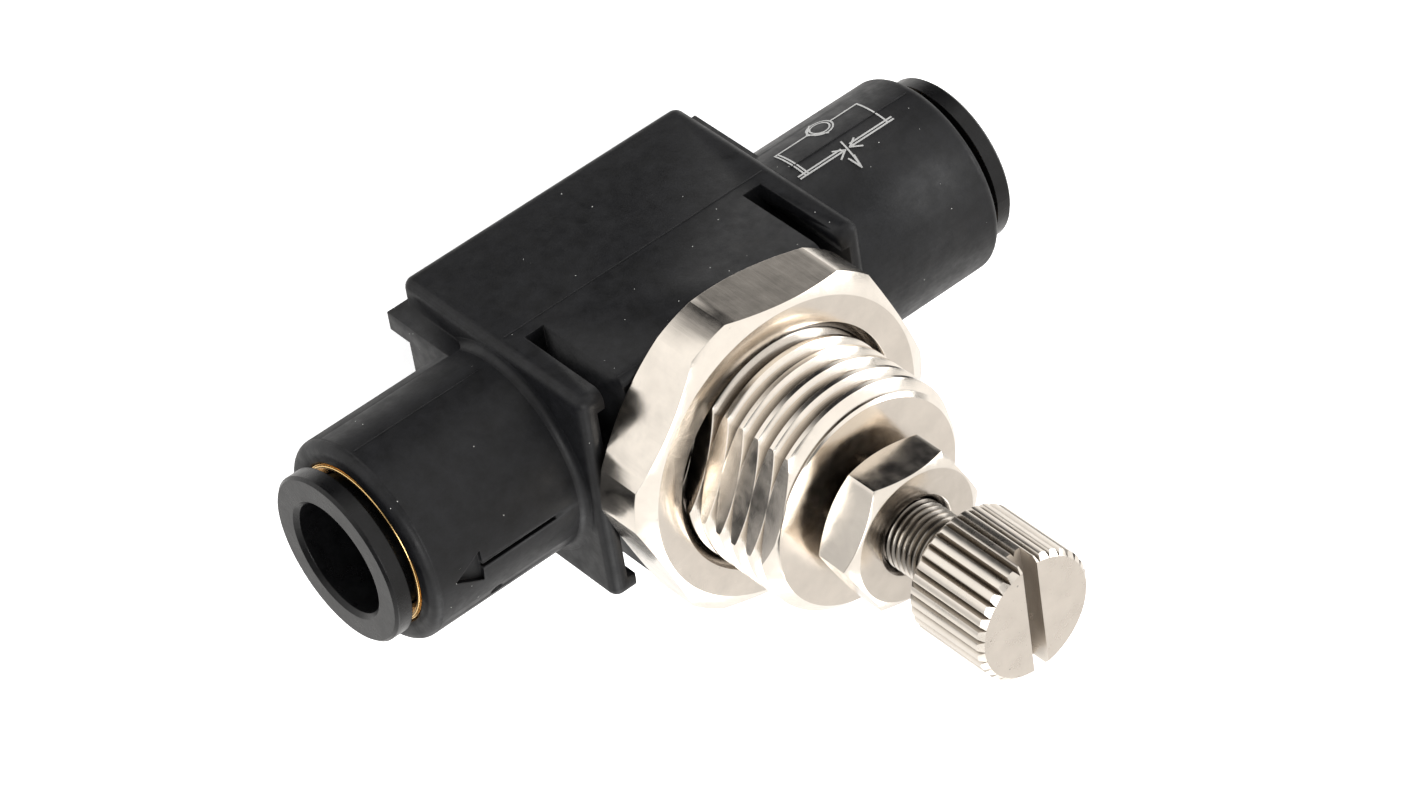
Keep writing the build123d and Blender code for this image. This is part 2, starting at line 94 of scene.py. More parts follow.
class ValveSizes(bpy.types.PropertyGroup):
    thread_pitch: FloatProperty(
        name="Panel thread pitch", description="Rise of the bonnet's thread in one turn",
        default=1.5 * MM, unit="LENGTH")
    thread_depth: FloatProperty(
        name="Panel thread depth", description="From the crests to the roots of the bonnet's thread",
        default=0.9 * MM, unit="LENGTH")
    screw_pitch: FloatProperty(
        name="Screw pitch", description="Rise of the adjusting screw's thread in one turn",
        default=0.5 * MM, unit="LENGTH")
    screw_depth: FloatProperty(
        name="Screw thread depth", description="From the crests to the roots of the screw's thread",
        default=0.3 * MM, unit="LENGTH")
    screw_radius: FloatProperty(
        name="Screw radius", description="Crests of the adjusting screw",
        default=2.5 * MM, unit="LENGTH")
    socket_radius: FloatProperty(
        name="Socket radius", description="Outside of the two tube sockets",
        default=7.5 * MM, unit="LENGTH")
    mark_depth: FloatProperty(
        name="Mark depth", description="Depth of the arrow sunk into the outlet socket",
        default=0.2 * MM, unit="LENGTH")
    print_width: FloatProperty(
        name="Print width", description="Line width of the printed flow symbol",
        default=0.13 * MM, unit="LENGTH")


class ValveColours(bpy.types.PropertyGroup):
    polymer: FloatVectorProperty(
        name="Body polymer", description="Colour of the moulded housing", subtype="COLOR",
        size=3, min=0, max=1, default=(0.0050, 0.0052, 0.0062))
    button: FloatVectorProperty(
        name="Button polymer", description="Colour of the release buttons", subtype="COLOR",
        size=3, min=0, max=1, default=(0.0038, 0.0038, 0.0042))
    nickel: FloatVectorProperty(
        name="Nickel plate", description="Colour of the plated metal", subtype="COLOR",
        size=3, min=0, max=1, default=(0.86, 0.795, 0.715))
    brass: FloatVectorProperty(
        name="Brass", description="Colour of the bare turned metal", subtype="COLOR",
        size=3, min=0, max=1, default=(0.86, 0.57, 0.24))
    ink: FloatVectorProperty(
        name="Ink", description="Colour of the printed flow symbol", subtype="COLOR",
        size=3, min=0, max=1, default=(0.36, 0.36, 0.355))


# ---------------------------------------------------------------- modelling helpers

def select_only(*objects):
    bpy.ops.object.select_all(action="DESELECT")
    for piece in objects:
        piece.select_set(True)
    bpy.context.view_layer.objects.active = objects[-1]


def edit(piece):
    select_only(piece)
    bpy.ops.object.mode_set(mode="EDIT")
    bpy.ops.mesh.select_mode(type="VERT")


def done():
    bpy.ops.object.mode_set(mode="OBJECT")
    return bpy.context.object


def settle(piece):
    """Put a piece's place and turn into its mesh."""
    select_only(piece)
    bpy.ops.object.transform_apply(location=True, rotation=True, scale=True)
    return piece


def outline(name, points):
    """A chain of edges drawn by extruding one vertex from point to point."""
    bpy.ops.object.select_all(action="DESELECT")
    bpy.ops.mesh.primitive_plane_add(size=MM, location=(0, 0, 0))
    piece = bpy.context.object
    piece.name = name
    edit(piece)
    bpy.ops.mesh.select_all(action="SELECT")
    bpy.ops.mesh.merge(type="CENTER")
    bpy.ops.mesh.select_all(action="SELECT")
    bpy.ops.transform.translate(value=points[0])
    for start, end in zip(points, points[1:]):
        step = Vector(end) - Vector(start)
        bpy.ops.mesh.extrude_region_move(TRANSFORM_OT_translate={"value": step})
    done()
    return piece


def tidy_shell(piece, merge=WELD):
    """Weld a closed shell and point its faces outwards."""
    edit(piece)
    bpy.ops.mesh.select_all(action="SELECT")
    bpy.ops.mesh.remove_doubles(threshold=merge)
    bpy.ops.mesh.normals_make_consistent(inside=False)
    done()
    return piece


def lathe(name, profile, steps=96, axis=(0, 0, 1), centre=(0, 0, 0)):
    """A solid turned about an axis through the centre, from a chain of points."""
    piece = outline(name, profile)
    edit(piece)
    bpy.ops.mesh.select_all(action="SELECT")
    bpy.ops.mesh.spin(steps=steps, angle=2 * pi, center=centre, axis=axis)
    done()
    return tidy_shell(piece)


def turned(name, corners, steps=96):
    """A solid turned about the screw axis from (radius, height) corners."""
    chain = [(r, 0, z) for r, z in corners]
    return lathe(name, chain, steps)


def apply(piece, kind, **settings):
    modifier = piece.modifiers.new(kind.title(), kind)
    for key, value in settings.items():
        setattr(modifier, key, value)
    select_only(piece)
    bpy.ops.object.modifier_apply(modifier=modifier.name)
    return piece


def combine(piece, tool, operation):
    """Cut, keep the shared part of, or add a tool, which is then removed."""
    apply(piece, "BOOLEAN", operation=operation, object=tool, solver="EXACT")
    bpy.data.objects.remove(tool, do_unlink=True)
    return piece


def block(name, low, high):
    """A box between two corners."""
    low, high = Vector(low), Vector(high)
    bpy.ops.object.select_all(action="DESELECT")
    bpy.ops.mesh.primitive_cube_add(size=1, location=(low + high) / 2)
    piece = bpy.context.object
    piece.name = name
    piece.scale = high - low
    return settle(piece)


def disc(name, radius, low, high, sides=64):
    bpy.ops.object.select_all(action="DESELECT")
    bpy.ops.mesh.primitive_cylinder_add(
        vertices=sides, radius=radius, depth=high - low, location=(0, 0, (low + high) / 2))
    piece = bpy.context.object
    piece.name = name
    return settle(piece)


def turn(piece, angle, axis="Z", centre=(0, 0, 0)):
    """Turn a piece's mesh about an axis through the centre, by the right-hand rule."""
    centre = Matrix.Translation(centre)
    piece.data.transform(centre @ Matrix.Rotation(angle, 4, axis) @ centre.inverted())
    return piece


def cut_flat(piece, place, normal):
    """Remove what lies beyond a plane, and close the cut."""
    edit(piece)
    bpy.ops.mesh.select_all(action="SELECT")
    bpy.ops.mesh.bisect(plane_co=place, plane_no=normal, use_fill=True, clear_outer=True,
                        threshold=SNAP)
    done()
    return piece


def copy_node(node, name):
    """A merged copy of a CAD node, free of the frame."""
    select_only(frame["nodes"][node])
    bpy.ops.object.duplicate()
    piece = bpy.context.object
    piece.name = name
    piece.parent = None
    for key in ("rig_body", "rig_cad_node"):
        if key in piece:
            del piece[key]
    edit(piece)
    bpy.ops.mesh.select_all(action="SELECT")
    bpy.ops.mesh.remove_doubles(threshold=WELD)
    done()
    return piece


def join(name, *pieces):
    select_only(*pieces)
    bpy.ops.object.join()
    piece = bpy.context.object
    piece.name = name
    return piece


def helix(name, crest, depth, pitch, crest_flat, low, high, steps):
    """A right-hand threaded rod with flat, closed ends."""
    middle = (crest_flat + pitch) / 2
    root_half = 0.03 * pitch     # the root is all but sharp
    ease = 0.12 * depth          # and the crest's corners are broken
    spiral_weld = 0.001 * MM
    start = low - pitch
    heights = (0, crest_flat, crest_flat + ease, middle - root_half, middle + root_half,
               pitch - ease, pitch)
    radii = (crest, crest, crest - ease, crest - depth, crest - depth, crest - ease, crest)
    rod = outline(name, [(r, 0, start + z) for r, z in zip(radii, heights)])
    spare_turns = 3
    turns = int((high - low) / pitch) + spare_turns
    apply(rod, "SCREW", screw_offset=pitch, iterations=turns, steps=steps, render_steps=steps,
          use_merge_vertices=True, merge_threshold=spiral_weld)
    rod = tidy_shell(rod, LOOSE_WELD)
    cut_flat(rod, (0, 0, high), (0, 0, 1))
    cut_flat(rod, (0, 0, low), (0, 0, -1))
    return tidy_shell(rod)


def finish(piece, material, body, slot, *nodes, angle=30):
    """Give a piece its finish and its place in the frame."""
    piece.data.materials.clear()
    piece.data.materials.append(material)
    select_only(piece)
    bpy.ops.object.shade_smooth_by_angle(angle=radians(angle))
    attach(piece, body)
    if nodes:
        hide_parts(*nodes)
    return piece


# ---------------------------------------------------------------- materials

class Nodes:
    """Short words for building a node material."""

    def __init__(self, name):
        self.material = bpy.data.materials.new(name)
        self.material.use_nodes = True
        self.tree = self.material.node_tree
        self.shader = self.tree.nodes["Principled BSDF"]
        place = self.tree.nodes.new("ShaderNodeTexCoord")
        self.place = place.outputs["Object"]

    def add(self, kind, inputs=None, **settings):
        node = self.tree.nodes.new(kind)
        for key, value in settings.items():
            setattr(node, key, value)
        for key, value in (inputs or {}).items():
            if isinstance(value, bpy.types.NodeSocket):
                self.tree.links.new(value, node.inputs[key])
            else:
                node.inputs[key].default_value = value
        return node

    def noise(self, scale, detail=4.0, stretch=None, roughness=0.6):
        where = self.place
        if stretch:
            where = self.add("ShaderNodeMapping", {"Vector": where, "Scale": stretch}).outputs["Vector"]
        return self.add("ShaderNodeTexNoise", {
            "Vector": where, "Scale": scale, "Detail": detail, "Roughness": roughness}).outputs["Fac"]

    def between(self, value, low, high, start=0.3, end=0.7):
        """Spread what lies from start to end over low to high."""
        return self.add("ShaderNodeMapRange", {
            "Value": value, "From Min": start, "From Max": end,
            "To Min": low, "To Max": high}).outputs["Result"]

    def maths(self, operation, first, second=0.0):
        return self.add("ShaderNodeMath", {0: first, 1: second}, operation=operation).outputs["Value"]

    def mix(self, share, first, second):
        node = self.add("ShaderNodeMix", data_type="RGBA")
        for key, value in (("Factor", share), ("A", first), ("B", second)):
            socket = [s for s in node.inputs if s.name == key and s.enabled][0]
            if isinstance(value, bpy.types.NodeSocket):
                self.tree.links.new(value, socket)
            else:
                socket.default_value = value
        return [s for s in node.outputs if s.enabled][0]

    def bump(self, height, strength, distance, normal=None):
        inputs = {"Height": height, "Strength": strength, "Distance": distance}
        if normal is not None:
            inputs["Normal"] = normal
        return self.add("ShaderNodeBump", inputs).outputs["Normal"]

    def hollows(self, distance):
        """1 out in the open, falling towards 0 down in a recess."""
        return self.add("ShaderNodeAmbientOcclusion", {"Distance": distance}, samples=8).outputs["AO"]

    def edges(self, radius):
        return self.add("ShaderNodeBevel", {"Radius": radius}, samples=6).outputs["Normal"]

    def set(self, **values):
        for key, value in values.items():
            socket = self.shader.inputs[key.replace("_", " ")]
            if isinstance(value, bpy.types.NodeSocket):
                self.tree.links.new(value, socket)
            else:
                socket.default_value = value
        return self.material


def rgba(colour, factor=1.0):
    return (*[min(c * factor, 1.0) for c in colour], 1.0)


def dimmed(colour, share):
    return [share * c for c in colour]


def moulded(name, colour, edge=0.12 * MM, rough=(0.38, 0.56), dust=True):
    """Satin glass-filled polymer: faint mottling, a fine grain, a little dust and painted shade darkening
    its recesses.
    """
    recess, recess_shade_colour = 1.2 * MM, (0.0008, 0.0008, 0.0008)
    grain_size, grain_depth = 3600, 0.03 * MM
    speck_scale, speck_radius, bare_share, speck = 1700.0, 0.06, 0.84, (0.6, 0.6, 0.58)
    n = Nodes(name)
    cloud = n.noise(700, detail=7, roughness=0.7)
    base = n.mix(n.between(cloud, 0, 1, 0.35, 0.65), rgba(colour, 0.6), rgba(colour, 1.5))
    # painted shade: the colour falls towards near black down in recesses, such as the button bores and the
    # corners by the shelves
    base = n.mix(n.between(n.hollows(recess), 0, 1, 0.2, 0.7), rgba(recess_shade_colour), base)
    grain = n.noise(grain_size, detail=3)
    gloss = n.between(n.noise(900, detail=7), *rough)
    normal = n.bump(grain, 0.35, grain_depth, n.edges(edge))
    if dust:
        cells = n.add("ShaderNodeTexVoronoi", {"Vector": n.place, "Scale": speck_scale})
        dots = n.maths("LESS_THAN", cells.outputs["Distance"], speck_radius)
        chance = n.add("ShaderNodeSeparateColor", {"Color": cells.outputs["Color"]}).outputs["Red"]
        rare = n.maths("GREATER_THAN", chance, bare_share)
        base = n.mix(n.maths("MULTIPLY", dots, rare), base, rgba(speck))
    return n.set(Base_Color=base, Roughness=gloss, Normal=normal, Specular_IOR_Level=0.28)


def plated(name, colour, turned_rings=True, brushed=None, rough=(0.13, 0.27), edge=0.0, hollow_shade_strength=0.85):
    """Bright nickel plate: patchy gloss, fine pits, tool marks under the plating and painted brown shade in
    the hollows.
    """
    recess, hollow_shade_colour = 1.9 * MM, (0.055, 0.038, 0.026)
    pit_scale, pit_colour, pit_share = 1500.0, (0.12, 0.10, 0.085), 0.55
    smallest_pit, largest_pit = 0.02, 0.13
    skin_depth, ring_width, ring_depth, brush_depth = 0.012 * MM, 0.11 * MM, 0.006 * MM, 0.02 * MM
    n = Nodes(name)
    patch = n.noise(420, detail=5)
    base = n.mix(n.between(patch, 0, 1, 0.35, 0.7), rgba(colour), rgba(colour, 0.90))
    # painted shade: the colour falls towards a dark brown in hollows, thread roots and crevices
    open_air = n.between(n.hollows(recess), 1 - hollow_shade_strength, 1, 0.15, 0.72)
    base = n.mix(open_air, rgba(hollow_shade_colour), base)
    cells = n.add("ShaderNodeTexVoronoi", {"Vector": n.place, "Scale": pit_scale})
    pit_radius = n.between(n.noise(260), smallest_pit, largest_pit, 0.5, 0.75)
    pits = n.maths("LESS_THAN", cells.outputs["Distance"], pit_radius)
    base = n.mix(n.maths("MULTIPLY", pits, pit_share), base, rgba(pit_colour))
    normal = n.edges(edge) if edge else None
    normal = n.bump(n.noise(2600, detail=4), 0.10, skin_depth, normal)
    if turned_rings:
        axes = n.add("ShaderNodeSeparateXYZ", {"Vector": n.place})
        square = n.maths("ADD", n.maths("MULTIPLY", axes.outputs["X"], axes.outputs["X"]),
                         n.maths("MULTIPLY", axes.outputs["Y"], axes.outputs["Y"]))
        ring = n.maths("SINE", n.maths("MULTIPLY", n.maths("SQRT", square), 2 * pi / ring_width))
        normal = n.bump(ring, 0.05, ring_depth, normal)
    if brushed:
        normal = n.bump(n.noise(1500, detail=5, stretch=brushed), 0.30, brush_depth, normal)
    gloss = n.between(n.noise(760, detail=5), *rough)
    return n.set(Base_Color=base, Metallic=1.0, Roughness=gloss, Normal=normal)


def plain_metal(name, colour, rough):
    """Bare metal inside the sockets: faint patches and a fine ripple."""
    n = Nodes(name)
    patch = n.noise(500, detail=4)
    base = n.mix(patch, rgba(colour, 0.9), rgba(colour, 1.08))
    gloss = n.between(n.noise(1200), rough - 0.05, rough + 0.08)
    return n.set(Base_Color=base, Metallic=1.0, Roughness=gloss, Normal=n.bump(patch, 0.1, 0.01 * MM))


def soft(name, colour, rough):
    """Rubber, plain plastic or ink: faint patches and a fine grain."""
    n = Nodes(name)
    base = n.mix(n.noise(400), rgba(colour, 0.8), rgba(colour, 1.2))
    grain = n.bump(n.noise(4000), 0.2, 0.01 * MM)
    gloss = n.between(n.noise(800), rough - 0.08, rough + 0.08)
    return n.set(Base_Color=base, Roughness=gloss, Normal=grain)


finishes = {}            # filled by the first operator, used by the others


class VALVE_OT_finishes(bpy.types.Operator):
    """Make the finishes and give them to the design's own pieces"""
    bl_idname = "valve.finishes"
    bl_label = "Finishes"

    def execute(self, context):
        colours = context.scene.valve_colours
        fine_edge, brushed_across, hammered = 0.03 * MM, (1, 1, 0.05), (1, 1, 0.5)
        finishes["body"] = moulded("body_polymer", colours.polymer)
        finishes["button"] = moulded("button_polymer", colours.button, edge=0.08 * MM,
                                     rough=(0.24, 0.36), dust=False)
        finishes["nickel"] = plated("nickel_plate", colours.nickel)
        # the knob and the screw get lighter painted shade in their hollows than the other plated parts
        finishes["knob"] = plated("knob_nickel", dimmed(colours.nickel, 0.95), turned_rings=False,
                                  rough=(0.24, 0.36), hollow_shade_strength=0.8)
        finishes["nut"] = plated("panel_nut_nickel", colours.nickel, turned_rings=False,
                                 brushed=brushed_across, rough=(0.13, 0.25), edge=fine_edge)
        finishes["lock"] = plated("lock_nut_nickel", dimmed(colours.nickel, 0.9), turned_rings=False,
                                  brushed=hammered, rough=(0.12, 0.27), edge=fine_edge)
        finishes["screw"] = plated("screw_nickel", dimmed(colours.nickel, 0.28), turned_rings=False,
                                   rough=(0.16, 0.3), hollow_shade_strength=0.7)
        finishes["brass"] = plain_metal("bare_brass", colours.brass, 0.22)
        finishes["steel"] = plain_metal("spring_steel", (0.6, 0.6, 0.6), 0.3)
        finishes["rubber"] = soft("seal_rubber", (0.015, 0.015, 0.015), 0.6)
        finishes["ring"] = soft("ring_polymer", (0.35, 0.35, 0.33), 0.5)
        finishes["ink"] = soft("printed_ink", colours.ink, 0.6)
        by_slot = {"body_polymer": "body", "button_polymer": "button", "ring_polymer": "ring",
                   "nickel_plate": "nickel", "bare_brass": "brass", "spring_steel": "steel",
                   "seal_rubber": "rubber"}
        for part in frame["record"]["subparts"]:
            node = frame["nodes"][part["node"]]
            node.data.materials.clear()
            node.data.materials.append(finishes[by_slot[part["material_slot"]]])
        return {"FINISHED"}


# ---------------------------------------------------------------- pieces

class VALVE_OT_housing(bpy.types.Operator):
    """Sink the flow arrow and a dimple into the outlet socket, and add the mould seam"""
    bl_idname = "valve.housing"
    bl_label = "Housing"

    def execute(self, context):
        sizes = context.scene.valve_sizes
        self.crown = AXIS_HEIGHT + sizes.socket_radius
        self.centre = (0, 0, AXIS_HEIGHT)
        housing = copy_node("housing", "housing_moulding")
        combine(housing, self.skin(), "UNION")
        curve_drop = 0.22 * MM       # how far the socket falls away under the arrow head
        floor = self.crown - sizes.mark_depth - curve_drop
        arrow_angle, dimple_angle = radians(-1), radians(-29.5)
        for mark in self.arrow(floor):
            combine(housing, turn(mark, arrow_angle, "X", self.centre), "DIFFERENCE")
        dimple_r, dimple_x, shallower = 0.5 * MM, 19.4 * MM, 0.1 * MM
        dimple = disc("dimple", dimple_r, floor + shallower, self.crown + THROUGH, 40)
        dimple.data.transform(Matrix.Translation((dimple_x, 0, 0)))
        combine(housing, turn(dimple, dimple_angle, "X", self.centre), "DIFFERENCE")
        finish(housing, finishes["body"], "valve_body", "body_polymer", "housing", angle=32)
        self.seam(sizes.socket_radius)
        return {"FINISHED"}

    def skin(self):
        """A finely divided skin over the outlet socket, so that what is cut into it shades evenly."""
        into_root, thickness, proud = 0.25 * MM, 0.5 * MM, 0.003 * MM
        start, end = BLOCK_END + into_root, MOUTH - MOUTH_ROUND
        low, high = self.crown - thickness, self.crown + proud
        loop = ((start, 0, low), (end, 0, low), (end, 0, high), (start, 0, high), (start, 0, low))
        return lathe("skin", loop, 256, (1, 0, 0), self.centre)

    def arrow(self, floor):
        tail, neck, tip, shaft_half, lap = 14.5 * MM, 20.65 * MM, 22.9 * MM, 0.17 * MM, 0.2 * MM
        top = self.crown + THROUGH
        shaft = block("shaft", (tail, -shaft_half, floor), (neck + lap, shaft_half, top))
        bpy.ops.object.select_all(action="DESELECT")
        reach = (tip - neck) / 1.5   # from the middle of a triangle to a corner
        bpy.ops.mesh.primitive_cylinder_add(
            vertices=3, radius=reach, depth=top - floor,
            location=(tip - reach, 0, (top + floor) / 2), rotation=(0, 0, -pi / 2))
        head = settle(bpy.context.object)
        return shaft, head

    def seam(self, socket_r):
        """The faint raised line where the mould halves met, in the plane of the tube axis."""
        half, proud, sunk, soft_edge = 0.05 * MM, 0.035 * MM, 0.1 * MM, 0.025 * MM
        clear, shelf = 0.9 * MM, 1.5 * MM
        runs = [(-MOUTH + clear, -BLOCK_END - shelf, socket_r),
                (BLOCK_END + shelf, MOUTH - clear, socket_r),
                (-BLOCK_END + clear, BLOCK_END - clear, BLOCK_HALF)]
        ribs = []
        for start, end, out in runs:
            for side in (-1, 1):
                near, far = sorted((side * (out - sunk), side * (out + proud)))
                ribs.append(block("rib", (start, near, AXIS_HEIGHT - half), (end, far, AXIS_HEIGHT + half)))
        seam = join("mould_seam", *ribs)
        apply(seam, "BEVEL", width=soft_edge, segments=2)
        finish(seam, finishes["body"], "valve_body", "body_polymer")


class VALVE_OT_roots(bpy.types.Operator):
    """Round the corner where each socket leaves the block"""
    bl_idname = "valve.roots"
    bl_label = "Socket roots"

    def execute(self, context):
        socket_r = context.scene.valve_sizes.socket_radius
        round_r, sunk = 0.6 * MM, 0.25 * MM
        steps = 6
        arc = [radians(180 + 90 / steps * i) for i in range(steps + 1)]
        profile = [(BLOCK_END + round_r * (1 + cos(a)), socket_r + round_r * (1 + sin(a))) for a in arc]
        profile += [(BLOCK_END + round_r, socket_r - sunk), (BLOCK_END - sunk, socket_r - sunk),
                    (BLOCK_END - sunk, socket_r + round_r)]
        for end, side in ENDS:
            chain = [(side * x, 0, AXIS_HEIGHT + r) for x, r in profile + profile[:1]]
            root = lathe(end + "_socket_root", chain, 128, (1, 0, 0), (0, 0, AXIS_HEIGHT))
            finish(root, finishes["body"], "valve_body", "body_polymer", angle=40)
        return {"FINISHED"}


class VALVE_OT_print(bpy.types.Operator):
    """Print the flow symbol on the inlet socket: a check valve beside an adjustable throttle"""
    bl_idname = "valve.print"
    bl_label = "Printed symbol"

    def execute(self, context):
        sizes = context.scene.valve_sizes
        self.radius = sizes.socket_radius
        self.half = sizes.print_width / 2
        self.film = 0.02 * MM
        self.middle = radians(-92.5)
        check, throttle = -1.63 * MM, 1.63 * MM      # the two branches, round the socket
        near, far = -13.75 * MM, -21.1 * MM          # where the branches meet, along it
        ball_x, ball_r, gate_x = -17.75 * MM, 0.95 * MM, -17.45 * MM
        overrun, head, head_half, gate = 0.45 * MM, 0.72 * MM, 0.45 * MM, 0.22 * MM
        seat, reach = (ball_x + ball_r + 0.2 * MM, check), 1.05 * MM
        foot = (gate_x - 0.1 * MM, throttle - 0.75 * MM)
        tip = (gate_x + 0.3 * MM, throttle + 1.75 * MM)
        barb, barb_half = 1.0 * MM, 0.24 * MM
        lines = [((near, check), seat), ((ball_x - ball_r, check), (far, check)),
                 ((near + overrun, throttle), (gate_x + gate, throttle)),
                 ((gate_x - gate, throttle), (far - overrun, throttle)),
                 (foot, tip)]
        lines += [((x, check), (x, throttle)) for x in (near, far)]
        double = 0.24 * MM                           # between the two lines of a pair
        lines += [((near + overrun, throttle - double), (gate_x + 2 * gate, throttle - double)),
                  ((gate_x - 2 * gate, throttle - double), (far - overrun, throttle - double)),
                  ((near - double, check), (near - double, throttle))]
        for side in (-1, 1):
            lines.append((seat, (seat[0] - reach, seat[1] + side * reach)))
            lines.append((tip, (tip[0] + side * barb_half, tip[1] - barb)))
            for end in (-1, 1):
                point = (gate_x + end * gate, throttle)
                lines.append((point, (point[0] + end * head, throttle + side * head_half)))
        strokes = [self.stroke(start, end) for start, end in lines]
        strokes += [self.ring((ball_x, check), radius) for radius in (ball_r, ball_r - double)]
        finish(join("flow_symbol", *strokes), finishes["ink"], "valve_body", "body_polymer")
        return {"FINISHED"}

    def wrap(self, piece):
        """Lay a flat drawing round the socket: X stays, Y becomes the way round, Z the height."""
        for vertex in piece.data.vertices:
            angle = self.middle + vertex.co.y / self.radius
            height = self.radius + vertex.co.z
            vertex.co.y, vertex.co.z = height * sin(angle), AXIS_HEIGHT + height * cos(angle)
        return tidy_shell(piece)

    def stroke(self, start, end):
        run = Vector((*end, 0)) - Vector((*start, 0))
        half = run.length / 2
        corner = Vector((half + self.half, self.half, self.film))
        line = block("stroke", -corner, corner)
        edit(line)
        bpy.ops.mesh.select_all(action="SELECT")
        bpy.ops.mesh.subdivide(number_cuts=7)
        done()
        turn(line, atan2(run.y, run.x))
        line.data.transform(Matrix.Translation((Vector((*start, 0)) + Vector((*end, 0))) / 2))
        return self.wrap(line)

    def ring(self, middle, radius):
        bpy.ops.object.select_all(action="DESELECT")
        bpy.ops.mesh.primitive_torus_add(
            major_radius=radius, minor_radius=self.half, major_segments=40, minor_segments=8)
        ring = bpy.context.object
        ring.scale.z = self.film / self.half
        settle(ring)
        ring.data.transform(Matrix.Translation((*middle, 0)))
        return self.wrap(ring)


class VALVE_OT_lips(bpy.types.Operator):
    """Roll the bright brass lip of each socket's sleeve"""
    bl_idname = "valve.lips"
    bl_label = "Sleeve lips"

    def execute(self, context):
        thickness, inset = 0.12 * MM, 0.18 * MM
        for end, side in ENDS:
            lip_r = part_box(end + "_sleeve")[1].y - inset
            centre = side * (MOUTH - thickness)
            bpy.ops.object.select_all(action="DESELECT")
            bpy.ops.mesh.primitive_torus_add(
                location=(centre, 0, AXIS_HEIGHT), rotation=(0, pi / 2, 0), major_radius=lip_r,
                minor_radius=thickness, major_segments=128, minor_segments=16)
            lip = bpy.context.object
            lip.name = end + "_sleeve_lip"
            finish(settle(lip), finishes["brass"], "valve_body", "bare_brass")
        return {"FINISHED"}


class VALVE_OT_bonnet(bpy.types.Operator):
    """Cut the bonnet's helical panel thread, its flats and its bore"""
    bl_idname = "valve.bonnet"
    bl_label = "Bonnet"

    def execute(self, context):
        sizes = context.scene.valve_sizes
        crest_flat, chamfer, flat_angle = 0.34 * MM, 0.85 * MM, -25.5
        under, over = BLOCK_FACE - THROUGH, BONNET_END + THROUGH
        thread = helix("bonnet_thread", BONNET_R, sizes.thread_depth, sizes.thread_pitch, crest_flat,
                       BLOCK_FACE, BONNET_END, 128)
        wide, shoulder = BONNET_R + THROUGH, BONNET_END - chamfer - THROUGH
        envelope = turned("envelope", [(0, under), (wide, under), (wide, shoulder),
                                       (BONNET_R - chamfer, BONNET_END), (0, BONNET_END)], 128)
        combine(thread, envelope, "INTERSECT")
        flat = BONNET_R - sizes.thread_depth
        for angle in (flat_angle, flat_angle + 180):
            cutter = block("flat", (flat, -BONNET_R, under), (flat + 2 * THROUGH, BONNET_R, over))
            combine(thread, turn(cutter, radians(angle)), "DIFFERENCE")
        lap = 0.1 * MM
        bonnet = copy_node("bonnet", "bonnet_turning")
        cut_flat(bonnet, (0, 0, BLOCK_FACE + lap), (0, 0, 1))
        combine(bonnet, thread, "UNION")
        combine(bonnet, self.bore(sizes.screw_radius, BLOCK_FACE - lap), "DIFFERENCE")
        finish(bonnet, finishes["nickel"], "valve_body", "nickel_plate", "bonnet", angle=12)
        return {"FINISHED"}

    def bore(self, screw_r, low):
        """The piston's bore, the screw's bore above its shoulder, and the countersink at the end."""
        clearance, sink, screw_length = 0.05 * MM, 0.4 * MM, 7.8 * MM
        piston_r, screw_r = 3.52 * MM, screw_r + clearance
        shoulder, over = BONNET_END - screw_length, BONNET_END + THROUGH
        return turned("bore", [
            (0, low), (piston_r, low), (piston_r, shoulder), (screw_r, shoulder),
            (screw_r, BONNET_END - sink), (screw_r + sink + THROUGH, over), (0, over)], 64)


class VALVE_OT_screw(bpy.types.Operator):
    """Cut the adjusting screw's fine thread"""
    bl_idname = "valve.screw"
    bl_label = "Adjusting screw"

    def execute(self, context):
        sizes = context.scene.valve_sizes
        hidden, crest_flat, lap = 6 * MM, 0.1 * MM, 0.1 * MM
        start = BONNET_END - hidden
        thread = helix("screw_thread", sizes.screw_radius, sizes.screw_depth, sizes.screw_pitch,
                       crest_flat, start, KNOB_LOW, 64)
        screw = copy_node("adjusting_screw", "screw_turning")
        cut_flat(screw, (0, 0, start + lap), (0, 0, 1))
        combine(screw, thread, "UNION")
        finish(screw, finishes["screw"], "screw", "nickel_plate", "adjusting_screw", angle=24)
        return {"FINISHED"}


